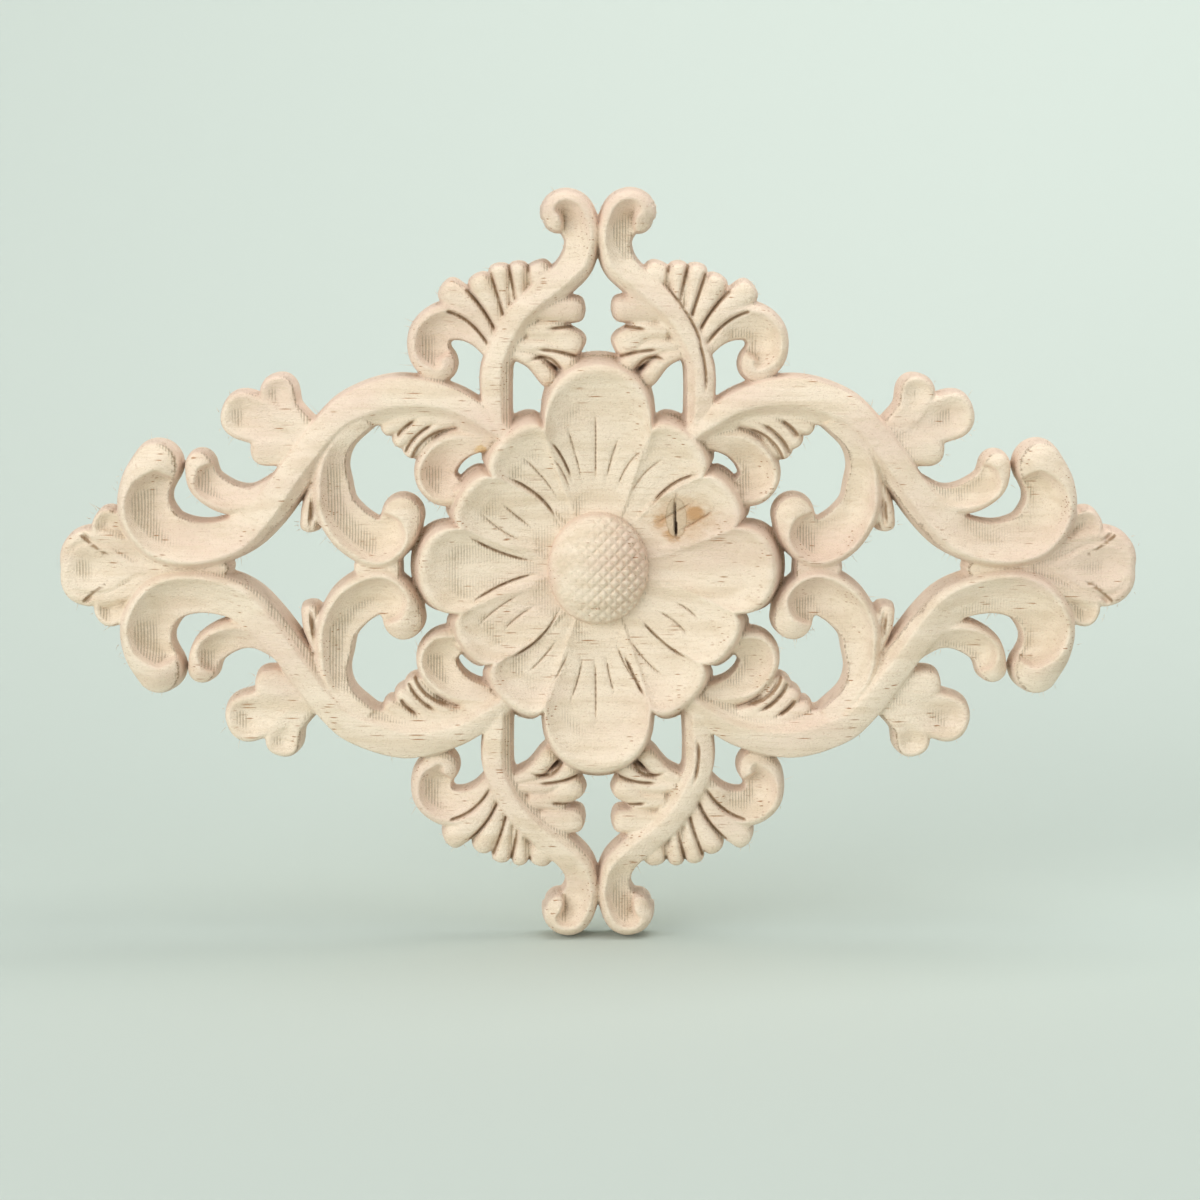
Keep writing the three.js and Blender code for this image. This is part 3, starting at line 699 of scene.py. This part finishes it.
def bare_rubberwood(colours, tool_step):
    """Rubberwood, machine carved and left bare: pale cream, open vessels along the length, the cutter's
    fine parallel steps in the scoops with painted shade in their low places, fuzzy brown creases and cuts
    that are partly torn fibres and partly painted shade, and one knot."""
    material = bpy.data.materials.new("rubberwood_machine_carved")
    material.use_nodes = True
    tree = material.node_tree
    shader = tree.nodes["Principled BSDF"]
    maths, ranged, vector = "ShaderNodeMath", "ShaderNodeMapRange", "ShaderNodeVectorMath"
    smooth = "SMOOTHSTEP"

    # Object coordinates turned to millimetres, the way the surface faces, and what the
    # carving left on each point: its crease, how far down a scoop it lies, and its cut.
    raw = node(tree, "ShaderNodeTexCoord").outputs["Object"]
    place = node(tree, vector, {0: raw, 1: (1 / MM,) * 3}, operation="MULTIPLY")
    at = node(tree, "ShaderNodeSeparateXYZ", {0: place}).outputs
    normal = node(tree, "ShaderNodeNewGeometry").outputs["Normal"]
    facing = node(tree, "ShaderNodeSeparateXYZ", {0: normal}).outputs
    front = node(tree, maths, {0: facing["Y"], 1: -1.0}, operation="MULTIPLY")
    marks = {name: node(tree, "ShaderNodeAttribute", attribute_name=name).outputs["Fac"]
             for name in MARKS}

    # Each pattern's size in millimetres along the length, the depth and the height, and how
    # much finer detail it holds.
    patterns = {
        "bands": (60, 3, 3, 3.0),         # growth bands that run on along the board
        "clouds": (30, 14, 14, 2.0),      # broad pinker places
        "streaks": (9, 0.6, 0.45, 2.0),   # fine grain, drawn about twice as coarse to show
        "fade": (18, 9, 9, 1.0),          # where vessels show at all
        "wobble": (1.5, 4, 6, 1.0),       # the cutter's lines waver
        "patches": (4, 5, 5, 2.0),        # and break off
        "fuzz": (0.5, 0.24, 0.24, 3.0),   # torn fibre ends
        "tufts": (1.6, 1.1, 1.1, 2.0),    # where more of them stand up
        "specks": (0.35, 0.35, 0.35, 1.0),  # small dark pores
        "ragged": (1.3, 1.3, 0.9, 3.0),   # the uneven edges of the knot's marks
    }
    noise = {}
    for name, (along, deep, up, detail) in patterns.items():
        scaled = node(tree, vector, {0: place, 1: (1 / along, 1 / deep, 1 / up)}, operation="MULTIPLY")
        read = {"Vector": scaled, "Scale": 1.0, "Detail": detail}
        noise[name] = node(tree, "ShaderNodeTexNoise", read)

    # Vessels: dashes up to about 4.5 mm long. Real ones are 0.2 mm thick, these up to 0.28 mm,
    # so that they show.
    scaled = node(tree, vector, {0: place, 1: (1 / 8.0, 1 / 0.8, 1 / 0.5)}, operation="MULTIPLY")
    cells = node(tree, "ShaderNodeTexVoronoi", {"Vector": scaled, "Scale": 1.0}).outputs
    lots = node(tree, "ShaderNodeSeparateColor", {0: cells["Color"]}).outputs[0]

    # The cutter's passes: upright lines down slopes that face the right, in the scoops, drawn in painted
    # shade where those slopes turn away from the main light.
    turns = node(tree, maths, {0: at["X"], 1: 2 * math.pi / tool_step}, operation="MULTIPLY")
    phase = node(tree, maths, {0: noise["wobble"], 1: 3.0, 2: turns}, operation="MULTIPLY_ADD")
    wave = node(tree, maths, {0: phase}, operation="SINE")

    # Smooth steps: what is read, where it starts and ends, and how much it comes to.
    steps = {
        "band": (noise["bands"], 0.42, 0.68, 0.6),
        "cloud": (noise["clouds"], 0.45, 0.7, 0.6),
        "streak": (noise["streaks"], 0.48, 0.75, 0.5),
        "end_grain": (front, 0.8, 0.2, 0.6),
        "dash": (cells["Distance"], 0.28, 0.1, 1.0),
        "some": (lots, 0.42, 0.8, 1.0),
        "here": (noise["fade"], 0.36, 0.56, 1.0),
        "between": (wave, 0.8, -0.9, 0.58),
        "right": (facing["X"], -0.03, 0.25, 1.0),
        "not_under": (facing["Z"], -0.4, -0.15, 1.0),
        "open": (front, 0.25, 0.75, 1.0),
        "gentle": (front, 0.2, 0.45, 1.0),
        "scooped": (marks["scoop"], 0.03, 0.25, 1.0),
        "broken": (noise["patches"], 0.25, 0.45, 0.85),
        "crease": (marks["crease"], 0.15, 1.0, 0.9),
        "torn": (noise["fuzz"], 0.2, 0.75, 1.0),
        "cut": (marks["cut"], 0.25, 0.95, 0.8),
        "rough": (noise["fuzz"], 0.54, 0.78, 0.17),
        "speck": (noise["specks"], 0.64, 0.72, 0.25),
        "dusty": (noise["tufts"], 0.5, 0.8, 0.35),
    }
    step = {}
    for name, (value, start, end, most) in steps.items():
        step[name] = node(tree, ranged, {0: value, 1: start, 2: end, 4: most}, interpolation_type=smooth)

    # Each coat of colour: its name, its colour, and the shares that multiply to how much.
    coats = (
        ("bands", "band", ("band",)),
        ("clouds", "pink", ("cloud",)),
        ("grain", "band", ("streak",)),
        ("end grain", "pink", ("end_grain",)),
        ("vessels", "vessel", ("dash", "some", "here")),
        # The cutter's real lines, with their low places painted darker as shade on scoop slopes that face
        # the right.
        ("passes", "cutter_shade_and_fuzz", ("between", "right", "not_under", "gentle", "scooped", "broken")),
        # Partly torn fibres, mostly painted shade: wood darkened by how far it lies below the wood around
        # it.
        ("crease_shade_and_fibres", "crease", ("crease", "torn", "open")),
        # Painted shade: the V cuts' lines are drawn dark as the shade in their grooves.
        ("cuts", "crease", ("cut",)),
        ("fuzz", "cutter_shade_and_fuzz", ("rough",)),
        ("specks", "vessel", ("speck",)),
        ("dust", "cream", ("dusty",)),
    )
    shares = {}
    layers = []
    for coat, colour, factors in coats:
        share = step[factors[0]]
        for factor in factors[1:]:
            share = node(tree, maths, {0: share, 1: step[factor]}, operation="MULTIPLY")
        shares[coat] = share
        layers.append((share, colour))

    # Round marks over the coats, in millimetres: colour, middle from the knot's middle, half
    # sizes, how ragged, where it starts and is full (1 is its edge), how much. The stain, the
    # paler eye in its thin ring, the crack and its wider lower part, and one spot of resin.
    spots = (
        ("knot", 1.0, 0.0, 7.5, 5.2, 0.8, 1.1, 0.3, 0.5),
        ("knot", 3.3, 0.9, 2.4, 2.2, 0.9, 1.0, 0.3, 0.9),
        ("knot", -3.0, -0.6, 1.8, 1.8, 0.9, 1.0, 0.3, 0.6),
        ("knot", -0.8, -3.0, 2.2, 1.8, 0.9, 1.0, 0.3, 0.8),
        ("crease", 0.0, 0.0, 2.05, 4.1, 0.3, 1.0, 0.9, 0.45),
        ("band", 0.0, 0.1, 1.95, 3.9, 0.3, 1.0, 0.85, 0.65),
        ("crack", -0.1, 0.1, 0.16, 4.3, 1.0, 1.05, 0.5, 0.9),
        ("crack", 0.05, -2.1, 0.28, 1.7, 1.0, 1.05, 0.5, 1.0),
        ("resin", -36.0, 12.6, 1.5, 1.1, 1.6, 1.0, 0.4, 0.5),
    )
    for colour, x, z, half_x, half_z, ragged, start, full, most in spots:
        middle = (KNOT[0] + x, 0, KNOT[1] + z)
        moved = node(tree, vector, {0: place, 1: middle}, operation="SUBTRACT")
        scaled = node(tree, vector, {0: moved, 1: (1 / half_x, 0, 1 / half_z)}, operation="MULTIPLY")
        away = node(tree, vector, {0: scaled}, operation="LENGTH").outputs["Value"]
        edge = node(tree, maths, {0: noise["ragged"], 1: ragged, 2: away}, operation="MULTIPLY_ADD")
        limits = {0: edge, 1: start + ragged / 2, 2: full + ragged / 2, 4: most}
        layers.append((node(tree, ranged, limits, interpolation_type=smooth), colour))

    skin = (*colours["cream"], 1.0)
    for share, colour in layers:
        mixed = {0: share, 6: skin, 7: (*colours[colour], 1.0)}
        skin = node(tree, "ShaderNodeMix", mixed, data_type="RGBA").outputs[2]

    # Height in millimetres for the bump: the torn fibre ends, taller in the creases, and then
    # what is read and how far it stands up or down.
    fuzzy = node(tree, maths, {0: step["crease"], 1: 0.15, 2: 0.27}, operation="MULTIPLY_ADD")
    tall = node(tree, maths, {0: noise["fuzz"], 1: fuzzy}, operation="MULTIPLY")
    for share, up in ((shares["passes"], -0.09), (shares["vessels"], -0.06), (noise["tufts"], 0.12),
                      (shares["cuts"], -0.15)):
        tall = node(tree, maths, {0: share, 1: up, 2: tall}, operation="MULTIPLY_ADD")
    bump = node(tree, "ShaderNodeBump", {"Height": tall, "Distance": MM, "Strength": 1.0})
    rough = node(tree, maths, {0: noise["fuzz"], 1: 0.15, 2: 0.7}, operation="MULTIPLY_ADD")
    tree.links.new(skin, shader.inputs["Base Color"])
    tree.links.new(rough.outputs[0], shader.inputs["Roughness"])
    tree.links.new(bump.outputs[0], shader.inputs["Normal"])
    shader.inputs["IOR"].default_value = 1.5
    shader.inputs["Specular IOR Level"].default_value = 0.3
    return material


def matt_board(colour):
    """Matt painted board: an even pale green with no gloss, so only soft shadows show."""
    material = bpy.data.materials.new("board_matt_painted")
    material.use_nodes = True
    shader = material.node_tree.nodes["Principled BSDF"]
    shader.inputs["Base Color"].default_value = (*colour, 1.0)
    shader.inputs["Roughness"].default_value = 0.9
    shader.inputs["Specular IOR Level"].default_value = 0.1
    return material


def fibre_mesh(height, grid, count):
    """Curled fibres, each a closed three-sided needle, rooted in the walls of the carving."""
    rng = np.random.default_rng(SEED + 1)
    (low_x, low_z), step = grid
    slope_x, slope_z = np.gradient(softened(height, 1.0), step)
    # The walls are where the relief is low and steep.
    rim = np.argwhere((height > 0.6) & (height < 2.4) & (np.hypot(slope_x, slope_z) > 2.5))
    x = low_x + rim[:, 0] * step
    z = low_z + rim[:, 1] * step
    weight = np.full(len(rim), 0.02)
    for tx, tz, spread in TUFTS:
        weight += np.exp(-0.5 * ((x - tx) ** 2 + (z - tz) ** 2) / spread ** 2)
    picked = rng.choice(len(rim), count, replace=False, p=weight / weight.sum())
    points, faces = [], []
    for k in picked:
        i, j = rim[k]
        out = -np.array([slope_x[i, j], slope_z[i, j]])
        out /= np.hypot(*out)
        tall = rng.uniform(*FIBRE_ROOTS)
        back = WALL_DRAFT * tall + 0.1  # from the outline to just inside the wall
        root = np.array([x[k] - out[0] * back, -tall, z[k] - out[1] * back])
        swing = rng.normal(0, 0.6)
        heading = np.array([out[0] - out[1] * swing, rng.normal(-0.1, 0.4), out[1] + out[0] * swing])
        heading /= np.linalg.norm(heading)
        curl = rng.normal(0, 1.0, 3)
        length = rng.uniform(*FIBRE_LENGTHS)
        thick = rng.uniform(*FIBRE_HALVES)
        start = len(points)
        side = np.cross(heading, (0.3, 0.9, 0.2))
        side /= np.linalg.norm(side)
        other = np.cross(heading, side)
        for r in range(FIBRE_RINGS):
            s = r / (FIBRE_RINGS - 1)
            centre = root + heading * length * s + curl * length * 0.5 * s * s
            width = thick * (1 - 0.85 * s)
            for c in range(3):
                turn = 2 * math.pi * c / 3
                points.append(centre + width * (side * math.cos(turn) + other * math.sin(turn)))
        for r in range(FIBRE_RINGS - 1):
            for c in range(3):
                a = start + 3 * r + c
                b = start + 3 * r + (c + 1) % 3
                faces += [(a, b, a + 3), (b, b + 3, a + 3)]
        tip = start + 3 * (FIBRE_RINGS - 1)
        faces += [(start, start + 2, start + 1), (tip, tip + 1, tip + 2)]
    low, high = (np.array(c) / MM for c in CAD_BOX)
    points = np.clip(np.array(points), low + 0.02, high - 0.02)
    return mesh_from("edge_fibres", points * MM, np.array(faces))


def dome_foot(shape, grid):
    """Where the grid lies in the narrow ring round the dome's foot."""
    (low_x, low_z), step = grid
    x = low_x + np.arange(shape[0])[:, None] * step
    z = low_z + np.arange(shape[1]) * step
    away = np.hypot(x / DOME_HALVES[0], z / DOME_HALVES[1])
    return (away > DOME_RING[0]) & (away < DOME_RING[1])


def size_of(name, description, metres, least):
    """A length that the user can set."""
    return bpy.props.FloatProperty(
        name=name, description=description, default=metres, min=least, unit="LENGTH", precision=5)


def colour_of(name, description, hex_colour):
    """A colour that the user can set."""
    return bpy.props.FloatVectorProperty(
        name=name, description=description, default=linear(hex_colour), subtype="COLOR")


class AppliqueSizes(bpy.types.PropertyGroup):
    """Sizes of the carving."""
    scroll_edge: size_of("Scroll edge", "Height of the scrolls' edges above the back", 0.0064, 0.003)
    scroll_rise: size_of("Scroll ridge", "Rise of the long scrolls' ridge above their edges", 0.0024, 0.0)
    side_rise: size_of(
        "Side ridge", "Rise of the side scrolls' and stems' ridge above their edges", 0.0019, 0.0)
    leaf_edge: size_of("Leaf edge", "Height of the leaves' edges above the back", 0.0054, 0.003)
    basin: size_of("Flower basin", "Height of the flower round its dome", 0.0056, 0.003)
    petal_rise: size_of("Petal rise", "Rise of the petals' rims above the basin", 0.0044, 0.0)
    cup: size_of("Petal cup", "Depth of each petal's cup", 0.0007, 0.0)
    dome_rise: size_of("Dome rise", "Rise of the dome above the basin", 0.0064, 0.0)
    cut_pitch: size_of("Dome cut spacing", "Distance between the slanting cuts in the dome", 0.0015, 0.0005)
    cut_depth: size_of("Dome cut depth", "Depth of the slanting cuts in the dome", 0.0008, 0.0)
    vein_depth: size_of("Vein depth", "Depth of the V cuts in the petals", 0.0005, 0.0)
    tool_radius: size_of("Rounding", "How softly the cutter leaves each corner", 0.00016, 0.00005)
    tool_step: size_of("Cutter step", "Distance between the cutter's passes", 0.00053, 0.0002)
    grid_step: size_of("Grid", "Spacing of the points that the relief is worked out at", 0.0002, 0.0001)
    triangles: bpy.props.IntProperty(
        name="Triangles", description="The most triangles the carving may have",
        default=190000, min=10000)
    fibres: bpy.props.IntProperty(
        name="Fibres", description="How many torn fibres stand out from the edges",
        default=560, min=0)


class WoodColours(bpy.types.PropertyGroup):
    """Colours of the bare wood."""
    cream: colour_of("Cream", "Clean cut wood", "#F5E4CD")
    band: colour_of("Growth band", "The darker growth bands", "#E0CBAE")
    pink: colour_of("Pink", "Walls and pinker clouds", "#EACFBC")
    # Painted shade: this colour darkens the cutter's lines on slopes that face the right. It also speckles
    # the fuzz.
    cutter_shade_and_fuzz: colour_of("Cutter lines", "The low places between the cutter's passes", "#9A8868")
    vessel: colour_of("Vessels", "Open vessels of the wood", "#B5845C")
    # Painted shade with some torn fibres: darkens the creases and the cuts' lines. It also draws the knot's
    # thin ring.
    crease: colour_of("Creases", "Torn wood in the creases", "#8F6D48")
    knot: colour_of("Knot", "The stain round the knot", "#C79A6C")
    crack: colour_of("Crack", "The crack in the knot", "#3B2414")
    resin: colour_of("Resin", "A small yellow spot of resin", "#E0B45E")


class StageSettings(bpy.types.PropertyGroup):
    """The floor, the backdrop and the light."""
    board: colour_of("Board", "Colour of the floor and backdrop", "#C9D3CB")
    key_power: bpy.props.FloatProperty(
        name="Main light", description="Power of the large light at the front left", default=13.2,
        min=0.0, unit="POWER")
    fill: bpy.props.FloatProperty(
        name="Fill", description="Strength of the even light from all round", default=0.37, min=0.0)


def sizes_in_mm(settings):
    """The lengths among the size settings, in millimetres and by name."""
    values = {name: getattr(settings, name) for name in settings.__annotations__}
    return {name: value / MM for name, value in values.items() if isinstance(value, float)}


def turned_to(target, name, data, spot):
    """A light or a camera at its spot, turned to the target."""
    made = placed(name, data)
    made.location = spot
    made.rotation_euler = (target - made.location).to_track_quat("-Z", "Y").to_euler()
    return made


def marks_on(height, lines, grid):
    """The fields that the material reads, in the order of their names in MARKS."""
    level = np.clip(height, 0, None)
    wood = (level > LOWEST_FACE).astype(float)
    fields = []
    for reach in NEAR_AND_FAR:
        spread = reach / grid[1]
        around = softened(level * wood, spread) / (softened(wood, spread) + 0.01)
        fields.append(np.where(wood > 0, np.clip(around - level, 0, None), WALL_CREASE))
    fields[0][(wood > 0) & dome_foot(level.shape, grid)] = 0
    blurred = softened(lines, CUT_LINE_SPREAD / grid[1])
    fields.append(np.minimum(CUT_LINE_STRENGTH * blurred, 1))
    return fields


class APPLIQUE_OT_carve(bpy.types.Operator):
    """Carves the applique in full relief and puts it in place of the plain solid"""
    bl_idname = "applique.carve"
    bl_label = "Carve the applique"

    def execute(self, context):
        settings = context.scene.applique_sizes
        colours = context.scene.applique_colours
        step = settings.grid_step / MM * 1
        height, lines, grid = relief(sizes_in_mm(settings), step)
        mesh = thinned(solid_mesh("carved_applique", height, grid), settings.triangles)
        points = fit_to_frame(mesh)
        for name, field in zip(MARKS, marks_on(height, lines, grid)):
            value = sampled(field, grid, points[:, 0] / MM, points[:, 2] / MM)
            value[points[:, 1] > -BACK_SKIN * MM] = 0
            mark = mesh.attributes.new(name, "FLOAT", "POINT")
            mark.data.foreach_set("value", value.astype(np.float32))
        shaded(mesh)
        shades = {name: getattr(colours, name) for name in WoodColours.__annotations__}
        wood = bare_rubberwood(shades, settings.tool_step / MM)
        piece = ready_piece("carved_applique", mesh, wood)
        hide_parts(NODE)
        return {"FINISHED"}


class APPLIQUE_OT_raise_fibres(bpy.types.Operator):
    """Raises the torn fibres along the edges"""
    bl_idname = "applique.raise_fibres"
    bl_label = "Raise the fibres"

    def execute(self, context):
        settings = context.scene.applique_sizes
        height, _, grid = relief(sizes_in_mm(settings), FIBRE_GRID)
        mesh = fibre_mesh(height, grid, settings.fibres)
        ready_piece("edge_fibres", mesh, bpy.data.materials["rubberwood_machine_carved"])
        return {"FINISHED"}


class APPLIQUE_OT_set_stage(bpy.types.Operator):
    """Sets up the floor, the backdrop, the light and the camera"""
    bl_idname = "applique.set_stage"
    bl_label = "Set the stage"

    def execute(self, context):
        settings = context.scene.applique_stage
        floor = CAD_BOX[0][2]
        profile = [(FLOOR_FRONT, floor), (FLOOR_BACK, floor)]
        profile += [(FLOOR_BACK + BEND * math.sin(a), floor + BEND * (1 - math.cos(a)))
                    for a in np.linspace(0, math.pi / 2, 33)[1:]]
        profile.append((FLOOR_BACK + BEND, floor + BACKDROP_RISE))
        points = [(side, y, z) for y, z in profile for side in (-STAGE_HALF, STAGE_HALF)]
        faces = [(2 * k, 2 * k + 1, 2 * k + 3, 2 * k + 2) for k in range(len(profile) - 1)]
        mesh = bpy.data.meshes.new("backdrop")
        mesh.from_pydata(points, [], faces)
        mesh.polygons.foreach_set("use_smooth", [True] * len(faces))
        mesh.materials.append(matt_board(settings.board))
        placed("backdrop", mesh)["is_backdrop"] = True

        aim = Vector(CAMERA_AIM) * MM
        targets = {"carving": aim, "wall": Vector(WALL_AIM)}
        for name, spot, target, size, share in LIGHTS:
            light = bpy.data.lights.new(name, "AREA")
            light.energy = settings.key_power * share
            light.size = size
            turned_to(targets[target], name, light, spot)
        world = bpy.data.worlds.new("soft_room")
        world.use_nodes = True
        world.node_tree.nodes["Background"].inputs["Color"].default_value = (1.0, 1.0, 1.0, 1.0)
        world.node_tree.nodes["Background"].inputs["Strength"].default_value = settings.fill
        context.scene.world = world
        context.scene.view_settings.view_transform = "Standard"

        data = bpy.data.cameras.new("camera")
        data.sensor_width = SENSOR
        data.lens = SENSOR * CAMERA_DISTANCE / VIEW_ACROSS
        data.clip_start = 0.01
        rise = math.radians(CAMERA_RISE)
        spot = Vector((CAMERA_AIM[0], -CAMERA_DISTANCE * math.cos(rise),
                       CAMERA_DISTANCE * math.sin(rise))) * MM
        context.scene.camera = turned_to(aim, "camera", data, spot)
        return {"FINISHED"}


class APPLIQUE_PT_panel(bpy.types.Panel):
    """Sizes, colours and steps of the applique"""
    bl_idname = "APPLIQUE_PT_panel"
    bl_label = "Carved wood applique"
    bl_space_type = "VIEW_3D"
    bl_region_type = "UI"
    bl_category = "Applique"

    def draw(self, context):
        for group in GROUPS:
            settings = getattr(context.scene, group)
            box = self.layout.box()
            for name in settings.__annotations__:
                box.prop(settings, name)
        for operator in OPERATORS:
            self.layout.operator(operator.bl_idname)


OPERATORS = (APPLIQUE_OT_carve, APPLIQUE_OT_raise_fibres, APPLIQUE_OT_set_stage)
GROUPS = {"applique_sizes": AppliqueSizes, "applique_colours": WoodColours,
          "applique_stage": StageSettings}
CLASSES = tuple(GROUPS.values()) + OPERATORS + (APPLIQUE_PT_panel,)


def register():
    for cls in CLASSES:
        bpy.utils.register_class(cls)
    for name, group in GROUPS.items():
        setattr(bpy.types.Scene, name, bpy.props.PointerProperty(type=group))


def unregister():
    for name in GROUPS:
        delattr(bpy.types.Scene, name)
    for cls in reversed(CLASSES):
        bpy.utils.unregister_class(cls)


def main():
    register()
    bpy.ops.applique.carve()
    bpy.ops.applique.raise_fibres()
    bpy.ops.applique.set_stage()
    boxes = {"cad": CAD_BOX, "visual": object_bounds()}
    boxes = {name: [list(corner) for corner in box] for name, box in boxes.items()}


if __name__ == "__main__":
    main()
